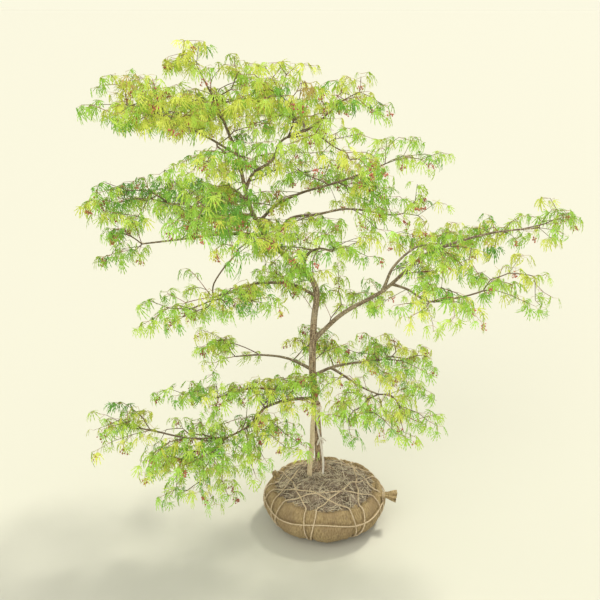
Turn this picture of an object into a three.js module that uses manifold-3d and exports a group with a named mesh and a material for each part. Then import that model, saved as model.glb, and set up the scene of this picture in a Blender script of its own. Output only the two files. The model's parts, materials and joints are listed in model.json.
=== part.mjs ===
// A young cut-leaf Japanese maple, dug up and standing on its burlap-wrapped root ball.
// Lengths are millimetres and angles are degrees. The origin is the centre of the ball's flat
// underside; +Z is up, +X is to the right of the tree's front and +Y is towards its back.
// A heading is measured from +X towards +Y, and a climb is measured up from level.

import * as THREE from "three";
import Module from "manifold-3d";
import { mergeVertices } from "three/addons/utils/BufferGeometryUtils.js";

const wasm = await Module();
wasm.setup();

// Clearances between pieces that touch in life.
const GAP = 0.4;
const LIMB_GAP = 0.6;
const SOIL_GAP = 1.2;
const MASS_GAP = 1.2;

// The root ball: a cup of burlap round a ball of soil.
const BALL_FOOT = 150;
const BALL_BELLY = [
  [225, 20],
  [295, 95],
];
const RIM_RADIUS = 226;
const RIM_HEIGHT = 168;
const BURLAP_THICK = 6;
const BALL_SIDES = 24;
const OUTER_RINGS = 6;
const INNER_RINGS = 5;
const BALL_LOBES = 8;
const BALL_LOBE_DEPTH = 0.012;
const SOIL_TOP = 207;
const SOIL_TOP_RADIUS = 112;
const SOIL_SHOULDER = 6;
const BELT_HEIGHT = 118;
const BELT_RADIUS = 251;
const BELT_THICK = 8;
const BELT_SIDES = 6;
const TAIL_LENGTH = 48;
const TAIL_ROOT = 16;
const TAIL_NECK = 13;
const TAIL_MOUTH = 27;
const TAIL_HEIGHT = 150;
const TAIL_START = 243;
const TAIL_FRONT = -54;
const TAIL_FLAT = 0.6;
const TAIL_SIDES = 8;

// The trunk, from its flat cut on the soil to its top shoot.
const TRUNK_FOOT = new THREE.Vector3(-18, 60, SOIL_TOP + GAP);
const TRUNK_RADIUS = 16.5;
const TRUNK_TIP = 2.6;
const TRUNK_TAPER = 1.6;
const ROOT_FLARE = 17;
const ROOT_FLARE_HEIGHT = 32;
const TRUNK_SIDES = 9;

// The boughs.
const BOUGH_SIDES = 6;
const BOUGH_TAPER = 0.9;
const COLLAR = 0.22;
const COLLAR_LENGTH = 22;
const RING_STEP = 63;

// The tie that holds the trunk to the ball: a band round the trunk and two straps down to the soil.
const TIE_HEIGHT = 502;
const TIE_BAND = 32;
const TIE_THICK = 3;
const TIE_SLACK = 1;
const BAND_SIDES = 10;
const STRAP_SPREAD = 0.4;
const STRAPS = [
  { foot: new THREE.Vector3(-64, 8, SOIL_TOP + 5), width: 22 },
  { foot: new THREE.Vector3(4, 4, SOIL_TOP + 5), width: 12 },
];

// How uneven a mass of foliage is.
const EDGE_WAVE = 0.13;
const FINE_WAVE = 0.078;
const TOP_WAVE = 0.16;
const UNDERSIDE = 0.72;
const DROOP = 0.45;

const COLOURS = {
  bark: 0x6f6250,
  boughBark: 0x6e5f4c,
  burlap: 0xbb9c63,
  soil: 0x77654c,
  rope: 0xcdb98a,
  tie: 0xe2d5ae,
};

const LEAF_COLOURS = {
  top: 0xb9cf5c,
  middle: 0x95be4e,
  shade: 0x6e9f3c,
};

// The trunk's course: legs of [heading, climb, length].
const TRUNK_LEGS = [
  [-157, 86, 262],
  [-174, 85, 207],
  [57, 88, 196],
  [35, 87, 160],
  [180, 52, 90],
  [176, 42, 154],
  [180, 56, 97],
  [180, 66, 82],
  [-157, 77, 118],
  [-142, 79, 83],
  [-146, 65, 86],
  [-165, 69, 107],
  [180, 64, 110],
  [180, 64, 60],
];

// Each bough leaves its parent so many millimetres along the parent's course, thins from radius[0]
// to radius[1], and ends where it enters the masses named in its tip.
const BOUGHS = [
  {
    name: "bough_low_left", parent: "trunk", leaves: 341, radius: [8, 4],
    legs: [[-137, 15, 151], [-139, 2, 123], [-131, -25, 101], [-140, -8, 110]],
    tip: ["mass_low_left"],
  },
  {
    name: "bough_low_left_upper", parent: "trunk", leaves: 404, radius: [7, 3.5],
    legs: [[-150, 5, 161], [-148, 16, 137], [-145, 0, 158]],
    tip: ["mass_low_left_upper"],
  },
  {
    name: "bough_low_right", parent: "trunk", leaves: 441, radius: [7.5, 4],
    legs: [[14, 21, 87], [19, 2, 152], [25, -5, 97]],
    tip: ["mass_low_right_back"],
  },
  {
    name: "bough_low_right_front", parent: "bough_low_right", leaves: 84, radius: [6, 3.5],
    legs: [[-52, -6, 89], [-59, -1, 105], [-42, -4, 90]],
    tip: ["mass_low_right_front"],
  },
  {
    name: "bough_low_back", parent: "trunk", leaves: 470, radius: [7, 3.5],
    legs: [[150, 12, 120], [158, -2, 130], [165, -10, 110]],
    tip: ["mass_low_left_back"],
  },
  {
    name: "bough_right_long", parent: "trunk", leaves: 598, radius: [10.5, 3.5],
    legs: [[-12, 46, 175], [-11, 34, 189], [-11, 44, 225], [-5, 21, 240], [0, 7, 190]],
    tip: ["mass_right_arm_tip"],
  },
  {
    name: "bough_right_rise", parent: "bough_right_long", leaves: 364, radius: [7, 3.5],
    legs: [[61, 37, 115], [50, 17, 164], [48, -3, 108]],
    tip: ["mass_right_arm_back"],
  },
  {
    name: "bough_right_dip", parent: "bough_right_long", leaves: 408, radius: [6, 3.5],
    legs: [[-59, 3, 105], [-65, -3, 111], [-71, 13, 87]],
    tip: ["mass_right_front"],
  },
  {
    name: "bough_left_front", parent: "trunk", leaves: 787, radius: [7, 3.5],
    legs: [[-143, 30, 149], [-146, 12, 147], [-137, -1, 148], [-135, -2, 71]],
    tip: ["mass_low_left_tier"],
  },
  {
    name: "bough_centre_right", parent: "trunk", leaves: 912, radius: [7, 3.5],
    legs: [[-69, 54, 108], [-53, 26, 83], [-54, 4, 74]],
    tip: ["mass_centre_right"],
  },
  {
    name: "bough_right_middle", parent: "trunk", leaves: 1066, radius: [7, 3.5],
    legs: [[-38, 55, 142], [-10, 12, 115], [11, 8, 110], [10, -10, 181]],
    tip: ["mass_middle_right_tip"],
  },
  {
    name: "bough_left_middle", parent: "trunk", leaves: 1108, radius: [7.5, 3.5],
    legs: [[-167, 11, 92], [-164, 2, 106], [-171, -5, 134], [180, -7, 156]],
    tip: ["mass_left_tier_tip"],
  },
  {
    name: "bough_right_high", parent: "trunk", leaves: 1172, radius: [7, 3.5],
    legs: [[24, 40, 94], [22, 22, 114], [-7, 18, 165], [-20, 24, 194]],
    tip: ["mass_upper_right_tip"],
  },
  {
    name: "bough_left_high", parent: "trunk", leaves: 1208, radius: [6.5, 3.5],
    legs: [[-150, 7, 99], [-151, -2, 103], [-154, 27, 128]],
    tip: ["mass_left_tier_upper"],
  },
  {
    name: "bough_left_back", parent: "trunk", leaves: 1256, radius: [6.5, 3.5],
    legs: [[112, 2, 140], [122, -14, 146], [133, -15, 85]],
    tip: ["mass_left_back"],
  },
  {
    name: "bough_top_right", parent: "trunk", leaves: 1312, radius: [7, 3.5],
    legs: [[-31, 61, 79], [-15, 35, 92], [16, 63, 78], [16, 21, 120], [24, 35, 120]],
    tip: ["mass_upper_right"],
  },
  {
    name: "bough_top_left", parent: "trunk", leaves: 1448, radius: [5.5, 3.2],
    legs: [[-148, 32, 158], [-167, 24, 144], [158, 12, 139]],
    tip: ["mass_top_left_tip"],
  },
];

// The masses of foliage, tier by tier from the top: centre, then half the size across (X),
// deep (Y) and thick (Z), and how far the pad leans down to the right (tilt).
const MASSES = [
  { name: "mass_top_shoots", at: [-496, 18, 1925], half: [50, 58, 78], tone: "top", tilt: 0 },
  { name: "mass_top_middle", at: [-394, 80, 1778], half: [158, 175, 92], tone: "top", tilt: -4 },
  { name: "mass_top_right", at: [-178, -100, 1808], half: [128, 135, 84], tone: "top", tilt: 0 },
  { name: "mass_top_left_front", at: [-590, -160, 1756], half: [155, 165, 84], tone: "top", tilt: 0 },
  { name: "mass_top_left_tip", at: [-784, 60, 1768], half: [132, 145, 80], tone: "top", tilt: -6 },
  { name: "mass_top_back_left", at: [-549, 350, 1690], half: [165, 190, 72], tone: "top", tilt: -4 },
  { name: "mass_top_back_right", at: [-195, 390, 1668], half: [160, 180, 70], tone: "top", tilt: 5 },
  { name: "mass_upper_right", at: [72, 110, 1750], half: [156, 165, 74], tone: "top", tilt: 6 },
  { name: "mass_upper_right_tip", at: [300, 40, 1556], half: [112, 125, 56], tone: "middle", tilt: 8 },
  { name: "mass_upper_right_front", at: [30, -230, 1622], half: [150, 160, 50], tone: "top", tilt: 8 },
  { name: "mass_under_top_front", at: [-350, -300, 1592], half: [168, 150, 62], tone: "middle", tilt: 0 },
  { name: "mass_upper_back", at: [-104, 520, 1440], half: [178, 180, 62], tone: "middle", tilt: 4 },
  { name: "mass_middle_right_back", at: [90, 270, 1392], half: [165, 165, 62], tone: "middle", tilt: 5 },
  { name: "mass_middle_right_tip", at: [335, 40, 1366], half: [115, 132, 68], tone: "middle", tilt: 8 },
  { name: "mass_left_tier_upper", at: [-650, -110, 1424], half: [178, 180, 66], tone: "shade", tilt: -4 },
  { name: "mass_left_tier_front", at: [-421, -385, 1428], half: [128, 140, 62], tone: "shade", tilt: 0 },
  { name: "mass_left_tier_tip", at: [-792, 30, 1222], half: [126, 142, 70], tone: "shade", tilt: -8 },
  { name: "mass_left_back", at: [-545, 430, 1305], half: [172, 180, 58], tone: "shade", tilt: -5 },
  { name: "mass_centre_front", at: [-270, -520, 1370], half: [118, 126, 58], tone: "middle", tilt: 0 },
  { name: "mass_centre", at: [-160, -110, 1196], half: [104, 108, 90], tone: "middle", tilt: 0 },
  { name: "mass_centre_right", at: [78, -190, 1236], half: [115, 130, 50], tone: "middle", tilt: 6 },
  { name: "mass_centre_back", at: [10, 500, 1090], half: [170, 175, 52], tone: "middle", tilt: 3 },
  { name: "mass_low_left_tier", at: [-440, -310, 1104], half: [198, 165, 50], tone: "middle", tilt: -6 },
  { name: "mass_right_arm_inner", at: [440, -110, 1200], half: [128, 142, 86], tone: "middle", tilt: 0 },
  { name: "mass_right_arm_middle", at: [668, 55, 1228], half: [122, 140, 64], tone: "middle", tilt: -4 },
  { name: "mass_right_arm_tip", at: [848, -50, 1304], half: [88, 95, 54], tone: "middle", tilt: -14 },
  { name: "mass_right_arm_low", at: [690, -150, 1092], half: [128, 115, 84], tone: "middle", tilt: 6 },
  { name: "mass_right_arm_back", at: [492, 350, 1145], half: [148, 160, 46], tone: "middle", tilt: 4 },
  { name: "mass_right_front", at: [372, -350, 1092], half: [140, 148, 52], tone: "middle", tilt: 6 },
  { name: "mass_low_right_back", at: [270, 190, 660], half: [190, 160, 42], tone: "middle", tilt: 6 },
  { name: "mass_low_right_front", at: [205, -215, 640], half: [200, 160, 95], tone: "middle", tilt: 10 },
  { name: "mass_low_left_back", at: [-420, 190, 655], half: [115, 150, 44], tone: "middle", tilt: -4 },
  { name: "mass_low_left_upper", at: [-445, -230, 690], half: [125, 145, 42], tone: "middle", tilt: -4 },
  { name: "mass_low_centre", at: [-198, -180, 680], half: [126, 115, 54], tone: "middle", tilt: 0 },
  { name: "mass_low_left_tip", at: [-760, -300, 586], half: [106, 118, 40], tone: "middle", tilt: -8 },
  { name: "mass_low_left", at: [-505, -345, 545], half: [150, 150, 52], tone: "middle", tilt: -4 },
  { name: "mass_low_left_hang", at: [-478, -300, 402], half: [198, 130, 78], tone: "middle", tilt: 0 },
  { name: "mass_low_left_inner", at: [-245, -262, 520], half: [132, 122, 58], tone: "middle", tilt: 4 },
];
const LARGE_MASS = 155;

const toRadians = THREE.MathUtils.degToRad;

function solidOf(geometry) {
  const bare = geometry.clone();
  bare.deleteAttribute("normal");
  bare.deleteAttribute("uv");
  const merged = mergeVertices(bare, 1e-3);
  return new wasm.Manifold(new wasm.Mesh({
    numProp: 3,
    vertProperties: new Float32Array(merged.attributes.position.array),
    triVerts: new Uint32Array(merged.index.array),
  }));
}

function geometryOf(solid) {
  const mesh = solid.getMesh();
  const geometry = new THREE.BufferGeometry();
  geometry.setAttribute("position", new THREE.BufferAttribute(Float32Array.from(mesh.vertProperties), 3));
  geometry.setIndex(new THREE.BufferAttribute(Uint32Array.from(mesh.triVerts), 1));
  geometry.computeVertexNormals();
  return geometry;
}

// The largest of the bodies that a cut leaves.
function mainBody(solid) {
  const bodies = solid.decompose();
  bodies.sort((a, b) => b.volume() - a.volume());
  return bodies[0];
}

// A smooth curve through the ends of a limb's legs.
function course(start, legs) {
  const joints = [start.clone()];
  for (const [heading, climb, length] of legs) {
    const step = new THREE.Vector3(
      Math.cos(toRadians(climb)) * Math.cos(toRadians(heading)),
      Math.cos(toRadians(climb)) * Math.sin(toRadians(heading)),
      Math.sin(toRadians(climb)),
    );
    joints.push(joints.at(-1).clone().addScaledVector(step, length));
  }
  return new THREE.CatmullRomCurve3(joints, false, "centripetal");
}

// One tapering limb: a closed cylinder whose rings are carried along the course.
// radiusAt gives the radius at a distance from the limb's foot.
function limbGeometry(curve, sides, radiusAt, grow) {
  const length = curve.getLength();
  const rings = Math.max(4, Math.round(length / RING_STEP));
  const frames = curve.computeFrenetFrames(rings, false);
  const geometry = new THREE.CylinderGeometry(1, 1, 1, sides, rings);
  const position = geometry.attributes.position;
  const point = new THREE.Vector3();
  for (let i = 0; i < position.count; i += 1) {
    const ring = Math.round((position.getY(i) + 0.5) * rings);
    const radius = radiusAt((ring / rings) * length) + grow;
    curve.getPointAt(ring / rings, point);
    point.addScaledVector(frames.normals[ring], position.getZ(i) * radius);
    point.addScaledVector(frames.binormals[ring], position.getX(i) * radius);
    position.setXYZ(i, point.x, point.y, point.z);
  }
  return geometry;
}

function boughRadius(bough, length) {
  const [foot, tip] = bough.radius;
  return (along) => {
    const taper = foot + (tip - foot) * (along / length) ** BOUGH_TAPER;
    return taper + foot * COLLAR * Math.exp(-along / COLLAR_LENGTH);
  };
}

// The trunk's first ring lies level on the soil, so its course leaves the soil upright.
function trunkRadius(length) {
  return (along) => {
    const taper = TRUNK_RADIUS + (TRUNK_TIP - TRUNK_RADIUS) * (along / length) ** TRUNK_TAPER;
    return taper + ROOT_FLARE * Math.exp(-along / ROOT_FLARE_HEIGHT);
  };
}

// A pad of foliage: wavy at its edge, domed on top, flatter below, with an edge that droops.
function massGeometry(mass, seed, grow) {
  const [across, deep, thick] = mass.half.map((size) => size + grow);
  const detail = Math.max(...mass.half) > LARGE_MASS ? 2 : 1;
  const geometry = new THREE.IcosahedronGeometry(1, detail);
  const position = geometry.attributes.position;
  for (let i = 0; i < position.count; i += 1) {
    const x = position.getX(i);
    const y = position.getY(i);
    const z = position.getZ(i);
    const heading = Math.atan2(y, x);
    const flat = Math.hypot(x, y);
    const edge = 1
      + EDGE_WAVE * flat * Math.sin(3 * heading + 2.1 * seed)
      + FINE_WAVE * flat * Math.sin(5 * heading + 1.3 * seed);
    const side = z > 0 ? 1 : UNDERSIDE;
    const swell = side * (1 + TOP_WAVE * flat * Math.sin(2 * heading + seed));
    position.setXYZ(
      i,
      x * across * edge,
      y * deep * edge,
      z * thick * swell - DROOP * mass.half[2] * flat * flat,
    );
  }
  geometry.rotateY(toRadians(mass.tilt));
  geometry.translate(...mass.at);
  return geometry;
}

// The burlap's outer wall from the foot to the rim, grown outwards by so much.
function ballProfile(grow, points) {
  const wall = new THREE.CubicBezierCurve(
    new THREE.Vector2(BALL_FOOT + grow, 0),
    ...BALL_BELLY.map(([radius, height]) => new THREE.Vector2(radius + grow, height)),
    new THREE.Vector2(RIM_RADIUS + grow, RIM_HEIGHT),
  );
  return wall.getPoints(points);
}

function lobed(geometry) {
  const position = geometry.attributes.position;
  for (let i = 0; i < position.count; i += 1) {
    const x = position.getX(i);
    const y = position.getY(i);
    const swell = 1 + BALL_LOBE_DEPTH * Math.cos(BALL_LOBES * Math.atan2(y, x));
    position.setXYZ(i, x * swell, y * swell, position.getZ(i));
  }
  return geometry;
}

// A lathe turned about +Z from a profile that starts and ends on the axis.
function turned(profile, sides = BALL_SIDES) {
  const geometry = new THREE.LatheGeometry(profile, sides);
  geometry.rotateX(Math.PI / 2);
  return geometry;
}

function burlapCup() {
  const outer = ballProfile(0, OUTER_RINGS);
  const inner = ballProfile(-BURLAP_THICK, INNER_RINGS).slice(1).reverse();
  return lobed(turned([
    new THREE.Vector2(0, 0),
    ...outer,
    ...inner,
    new THREE.Vector2(BALL_FOOT - BURLAP_THICK, BURLAP_THICK),
    new THREE.Vector2(0, BURLAP_THICK),
  ]));
}

function soilBall() {
  const inset = BURLAP_THICK + SOIL_GAP;
  const wall = ballProfile(-inset, INNER_RINGS).slice(1, -1);
  return lobed(turned([
    new THREE.Vector2(0, BURLAP_THICK + GAP),
    new THREE.Vector2(BALL_FOOT - 2 * inset, BURLAP_THICK + GAP),
    ...wall,
    new THREE.Vector2(RIM_RADIUS - inset, RIM_HEIGHT - SOIL_SHOULDER),
    new THREE.Vector2((RIM_RADIUS + SOIL_TOP_RADIUS) / 2, (SOIL_TOP + RIM_HEIGHT) / 2 + SOIL_SHOULDER),
    new THREE.Vector2(SOIL_TOP_RADIUS, SOIL_TOP),
    new THREE.Vector2(0, SOIL_TOP),
  ]));
}

// The burlap's outline filled in, as a cutter for what lies against it.
function ballCutter(grow) {
  const wall = ballProfile(grow, OUTER_RINGS);
  return solidOf(lobed(turned([
    new THREE.Vector2(0, -grow),
    ...wall,
    new THREE.Vector2(0, RIM_HEIGHT),
  ])));
}

function beltRope() {
  const ring = new THREE.TorusGeometry(BELT_RADIUS, BELT_THICK, BELT_SIDES, BALL_SIDES);
  ring.translate(0, 0, BELT_HEIGHT);
  return mainBody(solidOf(lobed(ring)).subtract(ballCutter(GAP)));
}

// The cup and the gathered end of the burlap, which sticks out at the right.
function burlapWrap() {
  const horn = new THREE.CylinderGeometry(TAIL_MOUTH, TAIL_NECK, TAIL_LENGTH + TAIL_ROOT, TAIL_SIDES, 1);
  horn.scale(1, 1, TAIL_FLAT);
  horn.rotateZ(-Math.PI / 2);
  horn.translate(TAIL_START + (TAIL_LENGTH - TAIL_ROOT) / 2, TAIL_FRONT, TAIL_HEIGHT);
  const tail = mainBody(solidOf(horn).subtract(ballCutter(-BURLAP_THICK / 2)));
  return solidOf(burlapCup()).add(tail);
}

function strapBetween(top, foot, width) {
  const along = new THREE.Vector3().subVectors(top, foot);
  const strap = new THREE.BoxGeometry(width, TIE_THICK, along.length());
  const turn = new THREE.Quaternion().setFromUnitVectors(
    new THREE.Vector3(0, 0, 1),
    along.clone().normalize(),
  );
  strap.applyQuaternion(turn);
  strap.translate(...foot.clone().addScaledVector(along, 0.5).toArray());
  return solidOf(strap);
}

function trunkTie(trunkCurve, trunkLength, radiusAt, trunkCutter) {
  const share = (TIE_HEIGHT - SOIL_TOP) / trunkLength;
  const middle = trunkCurve.getPointAt(share);
  const radius = radiusAt(TIE_HEIGHT - SOIL_TOP) + TIE_THICK + TIE_SLACK;
  const band = new THREE.CylinderGeometry(radius, radius, TIE_BAND, BAND_SIDES);
  band.rotateX(Math.PI / 2);
  band.translate(middle.x, middle.y, middle.z);
  let tie = solidOf(band);
  for (const { foot, width } of STRAPS) {
    const side = Math.sign(foot.x - middle.x);
    const top = new THREE.Vector3(middle.x + side * radius * STRAP_SPREAD, middle.y - radius, middle.z);
    tie = tie.add(strapBetween(top, foot, width));
  }
  return mainBody(tie.subtract(trunkCutter));
}

const model = new THREE.Group();

function addPart(name, geometry, colour, roughness) {
  const material = new THREE.MeshStandardMaterial({ color: colour, roughness, metalness: 0 });
  const mesh = new THREE.Mesh(geometry, material);
  mesh.name = name;
  model.add(mesh);
}

// Trunk and boughs: each is kept with its curve, its solid and the cutter that clears it.
const limbs = new Map();

function growLimb(name, curve, sides, radiusAt) {
  const shape = limbGeometry(curve, sides, radiusAt, 0);
  const room = limbGeometry(curve, sides, radiusAt, LIMB_GAP);
  limbs.set(name, { curve, radiusAt, solid: solidOf(shape), cutter: solidOf(room) });
}

const trunkCurve = course(TRUNK_FOOT, TRUNK_LEGS);
const trunkLength = trunkCurve.getLength();
growLimb("trunk", trunkCurve, TRUNK_SIDES, trunkRadius(trunkLength));
for (const bough of BOUGHS) {
  const parent = limbs.get(bough.parent);
  const start = parent.curve.getPointAt(bough.leaves / parent.curve.getLength());
  const curve = course(start, bough.legs);
  growLimb(bough.name, curve, BOUGH_SIDES, boughRadius(bough, curve.getLength()));
}

// Masses: each is cut clear of the ones before it.
const masses = new Map();
MASSES.forEach((mass, seed) => {
  let solid = solidOf(massGeometry(mass, seed, 0));
  for (const other of masses.values()) {
    solid = solid.subtract(other.cutter);
  }
  masses.set(mass.name, {
    tone: mass.tone,
    solid: mainBody(solid),
    cutter: solidOf(massGeometry(mass, seed, MASS_GAP)),
  });
});

// A bough is cut clear of its parent and of every earlier limb, and ends at its masses.
const placed = [];
for (const bough of [{ name: "trunk", tip: ["mass_top_shoots"] }, ...BOUGHS]) {
  const limb = limbs.get(bough.name);
  for (const earlier of placed) {
    limb.solid = limb.solid.subtract(limbs.get(earlier).cutter);
  }
  for (const end of bough.tip) {
    limb.solid = limb.solid.subtract(masses.get(end).cutter);
  }
  limb.solid = mainBody(limb.solid);
  for (const [name, mass] of masses) {
    if (!bough.tip.includes(name)) {
      mass.solid = mass.solid.subtract(limb.cutter);
    }
  }
  placed.push(bough.name);
}

// The trunk's foot is trimmed level with the soil.
const trunk = limbs.get("trunk");
const soilTrim = new THREE.BoxGeometry(2 * BALL_FOOT, 2 * BALL_FOOT, SOIL_TOP);
soilTrim.translate(TRUNK_FOOT.x, TRUNK_FOOT.y, TRUNK_FOOT.z - SOIL_TOP / 2);
trunk.solid = mainBody(trunk.solid.subtract(solidOf(soilTrim)));

addPart("root_soil", soilBall(), COLOURS.soil, 1);
addPart("burlap_wrap", geometryOf(burlapWrap()), COLOURS.burlap, 0.95);
addPart("belt_rope", geometryOf(beltRope()), COLOURS.rope, 0.9);
addPart(
  "trunk_tie",
  geometryOf(trunkTie(trunkCurve, trunkLength, trunk.radiusAt, trunk.cutter)),
  COLOURS.tie,
  0.8,
);
for (const name of placed) {
  addPart(name, geometryOf(limbs.get(name).solid), name === "trunk" ? COLOURS.bark : COLOURS.boughBark, 0.85);
}
for (const [name, mass] of masses) {
  addPart(name, geometryOf(mainBody(mass.solid)), LEAF_COLOURS[mass.tone], 0.7);
}

export default model;
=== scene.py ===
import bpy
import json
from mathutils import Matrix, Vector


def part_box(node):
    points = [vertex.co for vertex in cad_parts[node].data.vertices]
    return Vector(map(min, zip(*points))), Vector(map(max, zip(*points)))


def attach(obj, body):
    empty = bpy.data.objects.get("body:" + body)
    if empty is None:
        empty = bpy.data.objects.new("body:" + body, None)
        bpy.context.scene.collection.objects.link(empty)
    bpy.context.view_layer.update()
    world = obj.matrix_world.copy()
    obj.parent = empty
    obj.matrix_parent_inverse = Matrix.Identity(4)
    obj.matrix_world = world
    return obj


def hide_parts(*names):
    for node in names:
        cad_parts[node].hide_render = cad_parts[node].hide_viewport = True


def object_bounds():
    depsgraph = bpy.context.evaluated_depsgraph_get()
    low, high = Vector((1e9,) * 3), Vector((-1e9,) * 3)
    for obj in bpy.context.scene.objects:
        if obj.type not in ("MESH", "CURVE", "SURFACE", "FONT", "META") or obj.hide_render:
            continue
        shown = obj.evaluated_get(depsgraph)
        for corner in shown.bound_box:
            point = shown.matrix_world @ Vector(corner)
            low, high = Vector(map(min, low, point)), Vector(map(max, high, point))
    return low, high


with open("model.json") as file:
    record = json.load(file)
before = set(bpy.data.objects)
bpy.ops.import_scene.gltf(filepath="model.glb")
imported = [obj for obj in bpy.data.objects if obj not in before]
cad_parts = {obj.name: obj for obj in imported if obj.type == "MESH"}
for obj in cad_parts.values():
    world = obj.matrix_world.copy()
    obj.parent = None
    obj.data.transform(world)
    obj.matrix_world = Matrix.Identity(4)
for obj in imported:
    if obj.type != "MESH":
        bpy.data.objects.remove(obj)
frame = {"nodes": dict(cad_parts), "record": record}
cad_box = [list(corner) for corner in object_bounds()]

import json
import math

import bpy
import numpy as np
from mathutils import Euler, Vector, noise
from mathutils.bvhtree import BVHTree
from mathutils.kdtree import KDTree

# The studio: the tree stands on a pale floor that runs out of sight, in soft light from above and
# behind on the right. It is seen from three metres away and from a little over a person's height.
EYE = Vector((-0.104, -3.16, 2.09))
LOOK_DOWN = math.radians(19.1)
LENS = 51.1
FLOOR_SIZE = 900.0

bpy.ops.object.camera_add(location=EYE, rotation=(math.pi / 2 - LOOK_DOWN, 0, 0))
camera = bpy.context.object
camera.name = "camera"
camera.data.lens = LENS
camera.data.sensor_width = 36
bpy.context.scene.camera = camera

world = bpy.data.worlds.new("studio_air")
world.use_nodes = True
air_nodes = world.node_tree.nodes
air = air_nodes["Background"]
air.inputs["Color"].default_value = (1.0, 0.985, 0.93, 1)
air.inputs["Strength"].default_value = 0.8
far_air = air_nodes.new("ShaderNodeBackground")
far_air.inputs["Color"].default_value = (0.975, 0.95, 0.76, 1)
seen = air_nodes.new("ShaderNodeLightPath")
either = air_nodes.new("ShaderNodeMixShader")
for output, socket in (
    (seen.outputs["Is Camera Ray"], either.inputs[0]),
    (air.outputs[0], either.inputs[1]),
    (far_air.outputs[0], either.inputs[2]),
    (either.outputs[0], air_nodes["World Output"].inputs[0]),
):
    world.node_tree.links.new(output, socket)
bpy.context.scene.world = world
bpy.context.scene.view_settings.view_transform = "Standard"


def soft_sun(name, comes_from, strength, softness, colour):
    """A far studio lamp that shines from a direction towards the tree, with soft-edged shadows."""
    turn = (-Vector(comes_from)).to_track_quat("-Z", "Y").to_euler()
    bpy.ops.object.light_add(type="SUN", location=comes_from, rotation=turn)
    lamp = bpy.context.object
    lamp.name = name
    lamp.data.energy = strength
    lamp.data.angle = math.radians(softness)
    lamp.data.color = colour


soft_sun("key_light", (1.5, 1.2, 3.4), 2.4, 9, (1.0, 0.965, 0.87))
soft_sun("front_light", (-0.9, -2.4, 1.9), 1.5, 50, (1.0, 0.99, 0.96))


class Flow:
    """A number or colour that flows from one node of a finish to the next."""

    def __init__(self, finish, socket):
        self.finish = finish
        self.socket = socket

    def __add__(self, other):
        return self.finish.node("Math", {"operation": "ADD"}, self, other)

    def __mul__(self, other):
        return self.finish.node("Math", {"operation": "MULTIPLY"}, self, other)


class Finish:
    """A material: one Principled shader, with plain values on its sockets and nodes that feed it."""

    def __init__(self, name, colour, roughness, **plain):
        self.material = bpy.data.materials.new(name)
        self.material.use_nodes = True
        self.tree = self.material.node_tree
        self.shader = self.tree.nodes["Principled BSDF"]
        self.material.diffuse_color = (*colour, 1)
        self.colour((*colour, 1))
        self.feed(self.shader.inputs["Roughness"], roughness)
        for socket, value in plain.items():
            self.feed(self.shader.inputs[socket.replace("_", " ")], value)

    def feed(self, socket, value):
        if isinstance(value, Flow):
            self.tree.links.new(value.socket, socket)
        else:
            socket.default_value = value

    def node(self, kind, settings, *values, out=0, **named):
        node = self.tree.nodes.new("ShaderNode" + kind)
        for key, value in settings.items():
            setattr(node, key, value)
        for socket, value in zip(node.inputs, values):
            self.feed(socket, value)
        for key, value in named.items():
            self.feed(node.inputs[key.replace("_", " ")], value)
        return Flow(self, node.outputs[out])

    def place(self):
        return self.node("TexCoord", {}, out=3)

    def noise(self, place, scale, detail=3.0):
        """Noise at one scale, or at a scale for each axis."""
        if isinstance(scale, tuple):
            place = self.node("VectorMath", {"operation": "MULTIPLY"}, place, scale)
            scale = 1.0
        return self.node("TexNoise", {}, Vector=place, Scale=scale, Detail=detail)

    def mixed(self, share, first, second):
        node = self.tree.nodes.new("ShaderNodeMix")
        node.data_type = "RGBA"
        for index, value in ((0, share), (6, first), (7, second)):
            self.feed(node.inputs[index], (*value, 1) if isinstance(value, tuple) else value)
        return Flow(self, node.outputs[2])

    def blend(self, pattern, low, high, first, second, most=1.0):
        """One colour where a pattern is at low, and at most this share of another where it is at high."""
        share = self.node(
            "MapRange", {"interpolation_type": "SMOOTHSTEP"},
            Value=pattern, From_Min=low, From_Max=high, To_Max=most,
        )
        return self.mixed(share, first, second)

    def colour(self, flow):
        self.feed(self.shader.inputs["Base Color"], flow)

    def bump(self, height, distance, strength=1.0):
        bumped = self.node("Bump", {}, Strength=strength, Distance=distance, Height=height)
        self.feed(self.shader.inputs["Normal"], bumped)


bpy.ops.mesh.primitive_plane_add(size=FLOOR_SIZE, location=(0, 0, 0))
floor = bpy.context.object
floor.name = "floor"
floor_finish = Finish("pale_floor", (0.545, 0.54, 0.45), 0.9)
floor.data.materials.append(floor_finish.material)


# The root ball's soil: dug field soil that stands a little proud of its wrapping, lumpy and crumbly on
# top. It is one closed body that fills the wrapping.
MM = 0.001
SOIL_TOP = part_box("root_soil")[1].z
# The wall's section is a Bezier curve with these radii and heights, in mm, and eight slight lobes.
BALL_WALL = ((150, 0), (225, 20), (295, 95), (226, 168))
LOBES_ROUND = 8
LOBE_DEPTH = 0.012
MOUND_RADIUS = 105 * MM
SOIL_EDGE = (221 * MM, 161 * MM)
TRUNK_AT = (-18 * MM, 60 * MM)
TRUNK_RISE = 8 * MM
TRUNK_RISE_WIDTH = 70 * MM
SETTLED = 5 * MM
# Lumps, clods and crumbs: how many to the metre, how high in mm, and where each starts in the noise.
SOIL_ROUGHNESS = ((22, 8, 3.1), (75, 4.5, 7.7), (240, 1.6, 1.3))
TOP_RINGS = 0.8
SOIL_UNDERSIDE = 150 * MM


def wall_at(share):
    """Radius and height of the ball's wall, from its foot at 0 to its rim at 1."""
    back = 1 - share
    pulls = (back ** 3, 3 * back * back * share, 3 * back * share * share, share ** 3)
    return np.dot(pulls, BALL_WALL) * MM


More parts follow.
